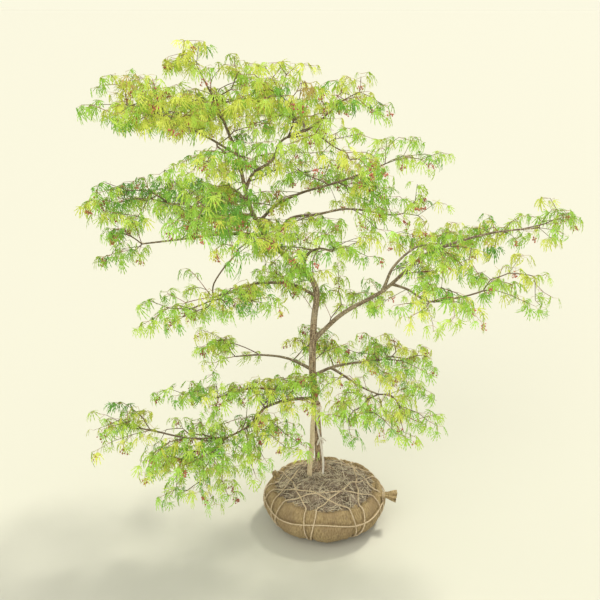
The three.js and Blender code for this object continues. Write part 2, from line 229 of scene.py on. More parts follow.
def ruffle(x, y, scale, z):
    """Smooth noise, this many times as fine in x and y."""
    return noise.noise(Vector((x * scale, y * scale, z)))


def polar(reach, turn):
    """The x and y of a place this far from the middle, at this turn round it."""
    return reach * math.cos(turn), reach * math.sin(turn)


def soil_height(x, y):
    """How high the top of the soil stands at a place."""
    slope = max(0.0, (math.hypot(x, y) - MOUND_RADIUS) / (SOIL_EDGE[0] - MOUND_RADIUS))
    height = SOIL_TOP - (SOIL_TOP - SOIL_EDGE[1]) * slope ** 1.25
    near_trunk = math.hypot(x - TRUNK_AT[0], y - TRUNK_AT[1]) / TRUNK_RISE_WIDTH
    height += TRUNK_RISE * math.exp(-(near_trunk ** 2)) - SETTLED
    return height + sum(ruffle(x, y, scale, z) * high * MM for scale, high, z in SOIL_ROUGHNESS)


def ball(name, segments, rings):
    """A sphere to be reshaped, and for each of its points its turn and its rise, 0 below to 1 above."""
    bpy.ops.mesh.primitive_uv_sphere_add(segments=segments, ring_count=rings, radius=1)
    piece = bpy.context.object
    piece.name = piece.data.name = name
    # Blender lists a new sphere's faces in another order each time, so here they are put in order.
    faces = sorted(tuple(face.vertices) for face in piece.data.polygons)
    corners = [tuple(vertex.co) for vertex in piece.data.vertices]
    piece.data.clear_geometry()
    piece.data.from_pydata(corners, [], faces)
    points = []
    for vertex in piece.data.vertices:
        rise = 1 - math.acos(max(-1, min(1, vertex.co.z))) / math.pi
        points.append((vertex, math.atan2(vertex.co.y, vertex.co.x), rise))
    return piece, points


soil, soil_points = ball("soil_mound", 192, 150)
for vertex, turn, rise in soil_points:
    if rise > 1 - TOP_RINGS:
        x, y = polar(SOIL_EDGE[0] * (1 - rise) / TOP_RINGS, turn)
        vertex.co = (x, y, soil_height(x, y))
    else:
        vertex.co = (*polar(SOIL_EDGE[0] * rise / (1 - TOP_RINGS), turn), SOIL_UNDERSIDE)
bpy.ops.object.shade_smooth()

earth = Finish("dug_soil", (0.17, 0.12, 0.08), 0.95)
ground_place = earth.place()
lumps = earth.noise(ground_place, 26, 5.0)
crumbs = earth.noise(ground_place, 210, 4.0)
grit = earth.noise(ground_place, 620, 2.0)
earth_tone = earth.blend(lumps, 0.36, 0.64, (0.09, 0.065, 0.042), (0.26, 0.2, 0.135))
earth_tone = earth.blend(crumbs, 0.52, 0.68, earth_tone, (0.42, 0.33, 0.22), 0.7)
earth_tone = earth.blend(grit, 0.62, 0.7, earth_tone, (0.055, 0.038, 0.026), 0.8)
earth.colour(earth_tone)
earth.bump(crumbs + grit * 0.4, 0.004)
soil.data.materials.append(earth.material)
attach(soil, "root")
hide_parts("root_soil")


# Litter on the soil: pale straws, dead twigs and loose clods, trodden into its top. Each lies as it
# fell and follows the lumps under it.
def unit(vectors):
    """The same directions, one long."""
    return vectors / (np.linalg.norm(vectors, axis=-1, keepdims=True) + 1e-12)


def ring_round(path, across, up, turns, reach):
    """Corners round a path, at these turns from across towards up and this far from the path."""
    ring = np.cos(turns)[..., None] * across[:, None] + np.sin(turns)[..., None] * up[:, None]
    return (path[:, None] + ring * reach[..., None]).reshape(-1, 3)


def tube_faces(rings, sides):
    """The triangles of a tube with closed ends, whose corners run ring by ring."""
    i = np.arange(rings - 1)[:, None] * sides
    j = np.arange(sides)[None, :]
    a, b = i + j, i + (j + 1) % sides
    c, d = b + sides, a + sides
    last = (rings - 1) * sides
    fan = np.arange(1, sides - 1)
    return np.concatenate([
        np.stack([a, b, c], axis=-1).reshape(-1, 3),
        np.stack([a, c, d], axis=-1).reshape(-1, 3),
        np.stack([0 * fan, fan + 1, fan], axis=-1),
        np.stack([last + 0 * fan, last + fan, last + fan + 1], axis=-1),
    ])


def tube(path, radii, sides):
    """A round tube along a path: its corners, and its faces as triangles."""
    path = np.asarray(path, float)
    forward = unit(np.gradient(path, axis=0))
    start = np.cross(forward[0], [0.31, 0.17, 0.93])
    if np.linalg.norm(start) < 1e-3:
        start = np.cross(forward[0], [1, 0, 0])
    across = [unit(start)]
    for ahead in forward[1:]:
        across.append(unit(across[-1] - ahead * np.dot(across[-1], ahead)))
    across = np.array(across)
    turns = np.arange(sides) * math.tau / sides
    corners = ring_round(path, across, np.cross(forward, across), turns[None], np.array(radii)[:, None])
    return corners, tube_faces(len(path), sides)


class Heap:
    """Many small shapes kept together, each with its material's number, to be one mesh."""

    def __init__(self):
        self.corners, self.faces, self.tones, self.count = [], [], [], 0

    def add(self, corners, faces, tone=0):
        self.corners.append(corners)
        self.faces.append(faces + self.count)
        self.tones.append(np.broadcast_to(tone, len(faces)))
        self.count += len(corners)

    def piece(self, name, finishes):
        mesh = bpy.data.meshes.new(name)
        mesh.from_pydata(np.concatenate(self.corners), [], np.concatenate(self.faces))
        for finish in finishes:
            mesh.materials.append(finish.material)
        mesh.polygons.foreach_set("material_index", np.concatenate(self.tones).astype(np.int32))
        mesh.polygons.foreach_set("use_smooth", np.ones(len(mesh.polygons), bool))
        mesh.update()
        piece = bpy.data.objects.new(name, mesh)
        bpy.context.collection.objects.link(piece)
        return piece


litter_rng = np.random.default_rng(3)
litter = Heap()
LITTER_REACH = 0.98 * SOIL_EDGE[0]
CLOD_REACH = 0.97 * SOIL_EDGE[0]
STRAW_BEND = 0.12
CLODS = 170
LITTER = (
    # how many, shortest and longest, thinnest and thickest, first and last colour
    (800, (14, 66), (0.5, 1.1), (0, 1)),
    (60, (30, 100), (0.8, 1.3), (0, 0)),
    (140, (25, 90), (0.7, 1.7), (2, 3)),
)
for count, lengths, girths, tones in LITTER:
    for _ in range(count):
        radius = LITTER_REACH * litter_rng.random() ** 0.5
        turn, lie = litter_rng.uniform(0, math.tau, 2)
        length = litter_rng.uniform(*lengths) * MM
        bow = litter_rng.normal(0, STRAW_BEND) * length
        tilt = abs(litter_rng.normal(0, STRAW_BEND))
        girth = litter_rng.uniform(*girths) * MM
        way = []
        for share in np.linspace(-0.5, 0.5, 5):
            along, aside = share * length, bow * share * share
            x = radius * math.cos(turn) + along * math.cos(lie) - aside * math.sin(lie)
            y = radius * math.sin(turn) + along * math.sin(lie) + aside * math.cos(lie)
            if math.hypot(x, y) > SOIL_EDGE[0]:
                break
            way.append((x, y, soil_height(x, y) + girth * 0.8 + tilt * (share + 0.5) * length))
        if len(way) >= 3:
            tone = int(litter_rng.integers(tones[0], tones[1] + 1))
            litter.add(*tube(way, np.full(len(way), girth), 4), tone)
clod_shape = np.array([(1, 0, 0), (-1, 0, 0), (0, 1, 0), (0, -1, 0), (0, 0, 1), (0, 0, -1)])
clod_faces = np.array([
    (0, 2, 4), (2, 1, 4), (1, 3, 4), (3, 0, 4), (2, 0, 5), (1, 2, 5), (3, 1, 5), (0, 3, 5)])
for _ in range(CLODS):
    radius = CLOD_REACH * litter_rng.random() ** 0.5
    x, y = polar(radius, litter_rng.uniform(0, math.tau))
    size = litter_rng.uniform(2, 6.5) * MM
    corners = clod_shape * litter_rng.uniform(0.55, 1.15, (6, 3)) * size
    corners += litter_rng.normal(0, 0.12 * size, (6, 3))
    litter.add(corners + (x, y, soil_height(x, y) + 0.3 * size), clod_faces, 4)
litter_piece = litter.piece("soil_litter", [
    Finish("straw_pale", (0.7, 0.61, 0.42), 0.7),
    Finish("straw_grey", (0.5, 0.43, 0.31), 0.75),
    Finish("dead_twig", (0.2, 0.135, 0.08), 0.8),
    Finish("dead_twig_grey", (0.33, 0.27, 0.2), 0.85),
    Finish("clod", (0.24, 0.175, 0.115), 0.95),
])
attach(litter_piece, "root")


# Ropes of twisted rice straw lace the ball: pairs rise from where they are pulled tight under it,
# cross over its top from rim to rim, and a belt goes round its shoulder and holds them.
ROPE_RADIUS = 2.8 * MM
ROPE_STEP = 4 * MM
ROPE_TWIST = 22 * MM
TRUNK_CLEAR = 58 * MM
BELT_AT = 0.79
BELT_SWAY = 0.045
RIM_INSIDE = 213 * MM
FOOT_REACH = 140 * MM
FIBRES_PER_METRE = 70
# The headings, in degrees, where the ropes are pulled tight under the ball, and of each rope's two
# ends where it crosses the rim.
PINCHES = (-148, -107, -57, -20, 20, 62, 105, 145, 185)
LACES = (
    (-64, -168), (-100, 13), (-140, -26), (-112, 151), (-50, 55), (-12, 69), (-154, 98), (179, 112),
    (139, 27),
)
rope_rng = np.random.default_rng(8)
pinch_turns = [math.radians(heading) for heading in PINCHES]


def between(start, end, from_mark, to_mark, mark):
    """Where a straight move from start to end is at a mark."""
    return (start * (to_mark - mark) + end * (mark - from_mark)) / (to_mark - from_mark)


def smooth_path(joints, parts=12):
    """A centripetal Catmull-Rom curve through the joints."""
    joints = np.asarray(joints)
    ends = [2 * joints[0] - joints[1], *joints, 2 * joints[-1] - joints[-2]]
    path = [joints[0]]
    for p in zip(ends, ends[1:], ends[2:], ends[3:]):
        m = [0]
        for i in range(3):
            m.append(m[i] + max(np.linalg.norm(p[i + 1] - p[i]) ** 0.5, 1e-6))
        for share in np.linspace(0, 1, parts + 1)[1:]:
            mark = m[1] + (m[2] - m[1]) * share
            a = [between(p[i], p[i + 1], m[i], m[i + 1], mark) for i in range(3)]
            b = [between(a[i], a[i + 1], m[i], m[i + 2], mark) for i in range(2)]
            path.append(between(b[0], b[1], m[1], m[2], mark))
    return np.array(path)


def distances(points):
    """How far along a path each of its points is."""
    return np.concatenate([[0], np.cumsum(np.linalg.norm(np.diff(points, axis=0), axis=1))])


def place_at(mark, along, points):
    """The place on a path where something that rises along it reaches a mark."""
    return np.stack([np.interp(mark, along, points[:, i]) for i in range(3)], axis=-1)


def evenly(points, step):
    """Points along a path at an even step, with the distance along the path to each."""
    points = np.asarray(points)
    along = distances(points)
    marks = np.linspace(0, along[-1], max(3, int(round(along[-1] / step)) + 1))
    return place_at(marks, along, points), marks


def frames(way, facing):
    """Directions along a way, across it, and out of it on the side that it faces."""
    forward = unit(np.gradient(way, axis=0))
    across = unit(np.cross(forward, facing))
    return forward, across, np.cross(across, forward)


def on_wall(turn, share, proud):
    """A place on the ball's wall, this far proud of it."""
    radius, height = wall_at(share)
    return *polar(radius * (1 + LOBE_DEPTH * math.cos(LOBES_ROUND * turn)) + proud, turn), height


def climb_wall(rim_turn):
    """From the nearest pinch under the ball up its wall to its rim."""
    pinch_turn = min(pinch_turns, key=lambda pinch: abs(math.remainder(pinch - rim_turn, math.tau)))
    lean = math.remainder(rim_turn - pinch_turn, math.tau)
    places = [(*polar(FOOT_REACH, pinch_turn), 4.5 * MM)]
    for share in (0.1, 0.25, 0.45, 0.65, 0.85, 0.98):
        inward = -14 * MM * math.exp(-((share / 0.28) ** 2))
        apart = max(0, share - 0.2) / 0.8
        places.append(on_wall(pinch_turn + lean * apart, share, 2 * MM + inward))
    return places


def strand(start_rim, end_rim):
    """One rope: up from a pinch, over the rim, across the top and down to another pinch."""
    first = np.array(polar(RIM_INSIDE, start_rim))
    last = np.array(polar(RIM_INSIDE, end_rim))
    top = []
    for share in np.linspace(0, 1, 9):
        spot = first + (last - first) * share
        away = spot - TRUNK_AT
        gap = np.linalg.norm(away)
        if gap < TRUNK_CLEAR:
            spot = TRUNK_AT + away / gap * TRUNK_CLEAR
        spot = spot + rope_rng.normal(0, 3 * MM, 2) * math.sin(math.pi * share)
        edge = 9 * MM * (share in (0, 1))
        top.append((*spot, soil_height(*spot) + 4 * MM + edge))
    return climb_wall(start_rim) + top + climb_wall(end_rim)[::-1]


def rope_mesh(way, radius, strands=3, sides=9):
    """A rope laid from strands: a lobed section that turns along its way, with closed ends."""
    _, across, up = frames(way, [0.02, 0.03, 1])
    marks = distances(way)[:, None]
    turns = np.arange(sides) * math.tau / sides
    lobe = 1 + 0.2 * np.cos(strands * turns)[None, :] + 0.05 * np.sin(marks * 900 + turns)
    corners = ring_round(way, across, up, turns[None] + marks / ROPE_TWIST * math.tau, radius * lobe)
    return corners, tube_faces(len(way), sides)[:, ::-1]


rope_ways = []
for headings in LACES:
    start_rim, end_rim = (math.radians(heading) for heading in headings)
    rope_ways.append(evenly(smooth_path(strand(start_rim, end_rim)), ROPE_STEP)[0])
belt = []
for turn in np.linspace(0, math.tau, 97):
    share = BELT_AT + BELT_SWAY * (math.sin(4 * turn + 1.9) + 0.3 * math.sin(7 * turn))
    belt.append(on_wall(turn, share, 3.2 * MM))
rope_ways.append(evenly(belt, ROPE_STEP)[0])
ropes = Heap()
for way in rope_ways:
    ropes.add(*rope_mesh(way, ROPE_RADIUS))
for way in rope_ways:
    for _ in range(int(len(way) * ROPE_STEP * FIBRES_PER_METRE)):
        i = int(rope_rng.integers(2, len(way) - 3))
        ahead = unit(way[i + 1] - way[i])
        out = rope_rng.normal(0, 1, 3)
        out = unit(out - ahead * np.dot(out, ahead))
        foot = way[i] + out * ROPE_RADIUS * 0.8
        reach = rope_rng.uniform(5, 17) * MM
        tip = foot + ahead * reach * rope_rng.choice((-1, 1)) + out * reach * rope_rng.uniform(0.1, 0.5)
        middle = (foot + tip) / 2 + out * reach * 0.06
        if tip[2] > 2 * MM:
            ropes.add(*tube([foot, middle, tip], [0.0005, 0.0004, 0.0002], 3), 1)

straw_rope = Finish("straw_rope", (0.68, 0.55, 0.35), 0.8)
rope_place = straw_rope.place()
strands_noise = straw_rope.noise(rope_place, 420)
rope_patches = straw_rope.noise(rope_place, 24, 2.0)
rope_tone = straw_rope.blend(strands_noise, 0.35, 0.65, (0.46, 0.34, 0.19), (0.82, 0.69, 0.47))
rope_tone = straw_rope.blend(rope_patches, 0.5, 0.7, rope_tone, (0.4, 0.3, 0.18), 0.35)
straw_rope.colour(rope_tone)
straw_rope.bump(strands_noise, 0.0012)
rope_piece = ropes.piece("straw_ropes", [straw_rope, Finish("straw_fibre", (0.66, 0.53, 0.32), 0.75)])
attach(rope_piece, "root")
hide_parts("belt_rope")


# The wrapping: a square of jute burlap drawn up round the ball and folded in over its rim. The ropes
# press into it, so it swells between them, and it is gathered in pleats to where they pull it tight.
BURLAP = 2.6 * MM
HEM_REACH = 15 * MM
UNDER, WALL_TOP = 0.2, 0.86
PINCH_WIDTH = 0.13
PINCH_DEPTH = 21 * MM
CLOTH_LIFT = 0.3 * MM
FOLD, CREASE, FOLDED_IN = 6.5 * MM, 4.2 * MM, 4.5 * MM
# How far a rope presses the cloth in and the cloth swells away from ropes, and how far off each is felt.
PRESS, PRESS_REACH = 6.5 * MM, 10 * MM
SWELL, SWELL_REACH = 5 * MM, 40 * MM


def finder_of(points):
    """Finds the nearest of these points to a place."""
    finder = KDTree(len(points))
    for i, point in enumerate(points):
        finder.insert(point, i)
    finder.balance()
    return finder


def cloth_place(turn, rise):
    """Where the cloth lies: turn goes round the ball, rise from under its middle to its hem."""
    pull = sum(
        math.exp(-((math.remainder(turn - pinch, math.tau) / PINCH_WIDTH) ** 2)) for pinch in pinch_turns)
    if rise < UNDER:
        return BALL_WALL[0][0] * MM * rise / UNDER * (1 - 0.06 * pull), CLOTH_LIFT
    share = (rise - UNDER) / (WALL_TOP - UNDER)
    x, y = polar(1, turn)
    radius, height = wall_at(min(share, 1))
    radius *= 1 + LOBE_DEPTH * math.cos(LOBES_ROUND * turn)
    if share > 1:
        over = (rise - WALL_TOP) / (1 - WALL_TOP)
        radius -= HEM_REACH * (1 + 0.5 * ruffle(x, y, 2.2, 5) + 0.5 * ruffle(x, y, 9, 2)) * over
        inner = soil_height(radius * x, radius * y) + 2 * MM
        height += (inner - height) * min(1, over * 1.3) + 6 * MM * math.sin(math.pi * min(1, over * 1.2))
        radius += 3 * MM * math.sin(math.pi * min(1, over * 2))
    low = math.exp(-((share / 0.3) ** 2))
    fold = ruffle(x, y, 9, share * 1.3)
    crease = 1 - abs(ruffle(x, y, 13, 4 + share * 1.1)) * 2
    gathered = 0.45 + 0.75 * low + 0.5 * max(0, min(1.2, share) - 0.6)
    radius += (FOLD * fold + CREASE * crease ** 3 - FOLDED_IN) * gathered - PINCH_DEPTH * pull * low
    return radius + 1.2 * MM * ruffle(x, y, 30, share * 16), height


def only(piece):
    """Leaves one object selected and active, for the next operator."""
    bpy.ops.object.select_all(action="DESELECT")
    piece.select_set(True)
    bpy.context.view_layer.objects.active = piece


def finish_with(piece, kind, **settings):
    """Adds a modifier with these settings and applies it."""
    only(piece)
    modifier = piece.modifiers.new(kind.lower(), kind)
    for key, value in settings.items():
        setattr(modifier, key, value)
    bpy.ops.object.modifier_apply(modifier=modifier.name)


def note_on(piece, name, vectors):
    """Stores a vector at each point of a piece, for its finish to read."""
    piece.data.attributes.new(name, "FLOAT_VECTOR", "POINT").data.foreach_set("vector", np.ravel(vectors))


wrap, wrap_points = ball("burlap_cloth", 320, 130)
rope_finder = finder_of(np.concatenate(rope_ways))
cloth_uv = []
for vertex, turn, rise in wrap_points:
    radius, height = cloth_place(turn, rise)
    place = Vector((*polar(radius, turn), height))
    gap = rope_finder.find(place)[2]
    press = PRESS * math.exp(-((gap / PRESS_REACH) ** 2)) - SWELL * min(1, gap / SWELL_REACH)
    if rise > WALL_TOP:
        place.z -= press
    elif rise > UNDER:
        place -= Vector((*polar(1, turn), 0)) * press
    place.z = max(place.z, CLOTH_LIFT)
    vertex.co = place
    cloth_uv.append((turn * 0.25, rise * 0.62, 0))
note_on(wrap, "cloth", cloth_uv)
# What lies inside the hem is cut away, and the skin that is left gets its thickness.
bpy.ops.object.mode_set(mode="EDIT")
bpy.ops.mesh.select_all(action="DESELECT")
bpy.ops.object.mode_set(mode="OBJECT")
for vertex in wrap.data.vertices:
    vertex.select = math.hypot(vertex.co.x, vertex.co.y) < 180 * MM and vertex.co.z > 0.1
bpy.ops.object.mode_set(mode="EDIT")
bpy.ops.mesh.delete(type="VERT")
bpy.ops.object.mode_set(mode="OBJECT")
finish_with(wrap, "SOLIDIFY", thickness=BURLAP, offset=-1)
bpy.ops.object.shade_smooth()

jute = Finish("jute_burlap", (0.5, 0.37, 0.18), 0.9)
cloth_flow = jute.node("Attribute", {"attribute_name": "cloth"}, out=1)
jute_place = jute.place()
THREAD = 1.9 * MM
warp, weft = (
    jute.node(
        "TexWave", {"bands_direction": direction, "wave_profile": "SIN"},
        Vector=cloth_flow, Scale=0.314 / THREAD, Distortion=1.2, Detail=2.0, Detail_Scale=3.0,
    )
    for direction in "XY"
)
slubs = jute.noise(cloth_flow, (260, 34, 1))
cross_slubs = jute.noise(cloth_flow, (30, 240, 1))
stains = jute.noise(jute_place, 9)
dirt = jute.noise(jute_place, 32, 4.0)
jute_tone = jute.blend(slubs, 0.34, 0.66, (0.34, 0.235, 0.1), (0.62, 0.47, 0.235))
jute_tone = jute.blend(cross_slubs, 0.5, 0.7, jute_tone, (0.7, 0.55, 0.3), 0.5)
jute_tone = jute.blend(stains, 0.48, 0.68, jute_tone, (0.3, 0.2, 0.105), 0.5)
jute_tone = jute.blend(dirt, 0.56, 0.7, jute_tone, (0.22, 0.155, 0.095), 0.45)
# Darker in the hollows between the threads, where the weave's bump dips: painted shade.
jute_tone = jute.mixed(warp * weft * -0.22 + 0.22, jute_tone, (0.2, 0.13, 0.06))
jute.colour(jute_tone)
jute.bump(warp * 0.5 + weft * 0.5 + slubs * 0.7 + cross_slubs * 0.5, 0.0013)
wrap.data.materials.append(jute.material)
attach(wrap, "root")
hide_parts("burlap_wrap")


# The wrapping's two free corners are gathered: one is drawn out at the right, tied round its neck
# and left to flare, the other is a small tuck that stands up at the left of the rim.
CLOTH_SIDES = 48


def gathered_end(way, radii, flatten, pleats, seed):
    """A pleated horn of cloth, closed at both ends, flattened one way."""
    path, marks = evenly(smooth_path(np.array(way) * MM), 3 * MM)
    share = marks / marks[-1]
    radii = np.interp(share, np.linspace(0, 1, len(radii)), radii) * MM
    corners, faces = tube(path, radii, CLOTH_SIDES)
    spread = corners.reshape(len(path), CLOTH_SIDES, 3) - path[:, None]
    for i, t in enumerate(share):
        for j in range(CLOTH_SIDES):
            turn = j * math.tau / CLOTH_SIDES
            fold = ruffle(math.cos(turn) + seed / 3, math.sin(turn), 3, t * 2)
            spread[i, j] *= 1 + (0.12 + 0.2 * t) * math.cos(pleats * turn + 1.5 * t) + 0.35 * fold * t
            spread[i, j] += (path[-1] - path[-3]) * 0.9 * fold * (t > 0.97)
    spread[..., 2] *= flatten
    return (path[:, None] + spread).reshape(-1, 3), faces


ends = Heap()
ends.add(*gathered_end(
    [(222, -50, 148), (243, -53, 150), (262, -56, 150), (298, -60, 146)],
    [20, 12.5, 14, 20, 25], flatten=0.75, pleats=7, seed=1))
ends.add(*gathered_end(
    [(-198, 68, 152), (-206, 71, 166), (-212, 72, 178), (-214, 70, 188)],
    [17, 15, 12, 11, 7], flatten=1.0, pleats=3, seed=5))
ends_piece = ends.piece("burlap_ends", [jute])
note_on(ends_piece, "cloth", [(v.co.x * 1.1, v.co.z * 1.1 + v.co.y, 0) for v in ends_piece.data.vertices])
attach(ends_piece, "root")


# The rope round the neck of the corner that is drawn out: two turns side by side, pulled as flat as
# the cloth inside them.
NECK_REACH = 13.5 * MM
neck = Heap()
for turn_at in (-1.8 * MM, 4.2 * MM):
    loop = []
    for turn in np.linspace(0, math.tau, 33):
        y, z = polar(NECK_REACH, turn)
        loop.append((0.244 + turn_at, -0.053 + y, 0.15 + 0.75 * z))
    neck.add(*rope_mesh(evenly(loop, ROPE_STEP)[0], 2.4 * MM))
neck_piece = neck.piece("neck_rope", [straw_rope])
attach(neck_piece, "root")


# The wood: trunk, leader and boughs are one living skin of smooth grey-brown bark, thicker than
# the limbs' straight taper at each fork and ridged where the trunk spreads into its roots.
TRUNK_FOOT = np.array([-18 * MM, 60 * MM, SOIL_TOP])
ROOT_FLARE = 17 * MM
ROOT_FLARE_HEIGHT = 32 * MM
TRUNK_TAPER, BOUGH_TAPER = 1.6, 0.9
COLLAR, COLLAR_LENGTH = 0.35, 22 * MM
# Each limb: what it grows from, how far along that it leaves (mm), its radius at foot and tip (mm),
# and the legs of its course as (heading, climb, length), in degrees and mm.
LIMBS = {
    "trunk": (None, 0, (16.5, 2.6), [
        (-157, 86, 262), (-174, 85, 207), (57, 88, 196), (35, 87, 160), (180, 52, 90), (176, 42, 154),
        (180, 56, 97), (180, 66, 82), (-157, 77, 118), (-142, 79, 83), (-146, 65, 86), (-165, 69, 107),
        (180, 64, 110), (180, 64, 60)]),
    "bough_low_left": ("trunk", 341, (8, 4), [
        (-137, 15, 151), (-139, 2, 123), (-131, -25, 101), (-140, -8, 110)]),
    "bough_low_left_upper": ("trunk", 404, (7, 3.5), [(-150, 5, 161), (-148, 16, 137), (-145, 0, 158)]),
    "bough_low_right": ("trunk", 441, (7.5, 4), [(14, 21, 87), (19, 2, 152), (25, -5, 97)]),
    "bough_low_right_front": ("bough_low_right", 84, (6, 3.5), [
        (-52, -6, 89), (-59, -1, 105), (-42, -4, 90)]),
    "bough_low_back": ("trunk", 470, (7, 3.5), [(150, 12, 120), (158, -2, 130), (165, -10, 110)]),
    "bough_right_long": ("trunk", 598, (10.5, 3.5), [
        (-12, 46, 175), (-11, 34, 189), (-11, 44, 225), (-5, 21, 240), (0, 7, 190)]),
    "bough_right_rise": ("bough_right_long", 364, (7, 3.5), [
        (61, 37, 115), (50, 17, 164), (48, -3, 108)]),
    "bough_right_dip": ("bough_right_long", 408, (6, 3.5), [
        (-59, 3, 105), (-65, -3, 111), (-71, 13, 87)]),
    "bough_left_front": ("trunk", 787, (7, 3.5), [
        (-143, 30, 149), (-146, 12, 147), (-137, -1, 148), (-135, -2, 71)]),
    "bough_centre_right": ("trunk", 912, (7, 3.5), [(-69, 54, 108), (-53, 26, 83), (-54, 4, 74)]),
    "bough_right_middle": ("trunk", 1066, (7, 3.5), [
        (-38, 55, 142), (-10, 12, 115), (11, 8, 110), (10, -10, 181)]),
    "bough_left_middle": ("trunk", 1108, (7.5, 3.5), [
        (-167, 11, 92), (-164, 2, 106), (-171, -5, 134), (180, -7, 156)]),
    "bough_right_high": ("trunk", 1172, (7, 3.5), [
        (24, 40, 94), (22, 22, 114), (-7, 18, 165), (-20, 24, 194)]),
    "bough_left_high": ("trunk", 1208, (6.5, 3.5), [(-150, 7, 99), (-151, -2, 103), (-154, 27, 128)]),
    "bough_left_back": ("trunk", 1256, (6.5, 3.5), [(112, 2, 140), (122, -14, 146), (133, -15, 85)]),
    "bough_top_right": ("trunk", 1312, (7, 3.5), [
        (-31, 61, 79), (-15, 35, 92), (16, 63, 78), (16, 21, 120), (24, 35, 120)]),
    "bough_top_left": ("trunk", 1448, (5.5, 3.2), [(-148, 32, 158), (-167, 24, 144), (158, 12, 139)]),
}
LIMB_STEP = 8 * MM
BARK_VOXEL = 2.55 * MM
ROOTS = 6
# The roots' way out from the trunk, as (reach, height over the soil), and their radii, in mm.
ROOT_COURSE = ((5, 78), (11, 45), (24, 18), (46, 3), (60, -8))
ROOT_RADII = (7, 11, 6)


def leg(heading, climb, length):
    """The step that a leg of a course makes, in metres."""
    rise = math.radians(climb)
    return length * MM * np.array([*polar(math.cos(rise), math.radians(heading)), math.sin(rise)])


def limb_course(parent, leaves, radius, legs):
    """A limb's way at even steps, with the distance along it and its radius at each."""
    joints = [TRUNK_FOOT]
    if parent:
        way, marks, _ = courses[parent]
        joints = [place_at(leaves * MM, marks, way)]
    for one in legs:
        joints.append(joints[-1] + leg(*one))
    way, marks = evenly(smooth_path(joints), LIMB_STEP)
    foot, tip = radius[0] * MM, radius[1] * MM
    girth = foot + (tip - foot) * (marks / marks[-1]) ** (BOUGH_TAPER if parent else TRUNK_TAPER)
    if parent:
        return way, marks, girth + COLLAR * foot * np.exp(-marks / COLLAR_LENGTH)
    return way, marks, girth + ROOT_FLARE * np.exp(-marks / ROOT_FLARE_HEIGHT)


def tapered_curve(points, radii):
    """A round curve object with its own radius at each point, made a mesh with closed ends."""
    curve = bpy.data.curves.new("limb", "CURVE")
    curve.dimensions = "3D"
    curve.bevel_depth = 1.0
    curve.bevel_resolution = 3
    curve.use_fill_caps = True
    spline = curve.splines.new("POLY")
    spline.points.add(len(points) - 1)
    for knot, point, radius in zip(spline.points, points, radii):
        knot.co = (*point, 1)
        knot.radius = radius
    limb = bpy.data.objects.new("limb", curve)
    bpy.context.collection.objects.link(limb)
    only(limb)
    bpy.ops.object.convert(target="MESH")
    return bpy.context.object


courses = {}
for limb_name, limb in LIMBS.items():
    courses[limb_name] = limb_course(*limb)
wood_parts = [tapered_curve(way, girth) for way, marks, girth in courses.values()]
for i in range(ROOTS):
    turn = math.tau * (i + 0.3 * math.sin(2.7 * i)) / ROOTS
    root = [TRUNK_FOOT + (*polar(reach * MM, turn), height * MM) for reach, height in ROOT_COURSE]
    way, marks = evenly(smooth_path(root), LIMB_STEP)
    wood_parts.append(tapered_curve(way, np.interp(marks / marks[-1], (0, 0.5, 1), ROOT_RADII) * MM))
wood = wood_parts[0]
only(wood)
for part in wood_parts:
    part.select_set(True)
bpy.ops.object.join()
wood.name = wood.data.name = "tree_wood"
finish_with(wood, "REMESH", mode="VOXEL", voxel_size=BARK_VOXEL, adaptivity=0.0)
finish_with(wood, "SMOOTH", factor=0.5, iterations=2)

# The bark's grain follows each limb: "grain" holds a point's place round and along its limb, and
# "girth" the limb's radius there.
GRAIN_FACING = [0.3, 1.0, 0.2]
LIMB_SHIFT = 0.37
RIDGES, LUMPS, FINE = 0.055, 0.07, 0.2 * MM
samples, sample_along, sample_girth = (np.concatenate(part) for part in zip(*courses.values()))
sample_dir, sample_side, sample_front = (
    np.concatenate(part) for part in zip(*(frames(way, GRAIN_FACING) for way, _, _ in courses.values())))
sample_limb = np.repeat(np.arange(len(courses)), [len(way) for way, _, _ in courses.values()])
finder = finder_of(samples)
bark_co = np.array([v.co for v in wood.data.vertices])
bark_no = np.array([v.normal for v in wood.data.vertices])
near = np.array([
    min(finder.find_n(point, 4), key=lambda found: found[2] - sample_girth[found[1]])[1]
    for point in bark_co
])
offset = bark_co - samples[near]
grain = np.stack([
    np.einsum("ij,ij->i", offset, sample_side[near]),
    np.einsum("ij,ij->i", offset, sample_front[near]),
    np.einsum("ij,ij->i", offset, sample_dir[near]) + sample_along[near] + LIMB_SHIFT * sample_limb[near],
], axis=1)
girth_here = sample_girth[near]
rise = np.empty(len(bark_co))
for i, (x, y, z) in enumerate(grain):
    ridge = ruffle(x, y, 260, z * 38)
    lump = ruffle(x + 0.15, y, 60, z * 26)
    rise[i] = (RIDGES * ridge + LUMPS * lump) * girth_here[i] + FINE * ruffle(x, y, 700, z * 160)
bark_co += bark_no * rise[:, None]
wood.data.vertices.foreach_set("co", bark_co.ravel())
note_on(wood, "grain", grain)
wood.data.attributes.new("girth", "FLOAT", "POINT").data.foreach_set("value", girth_here)
wood.data.update()
only(wood)
bpy.ops.object.shade_smooth()

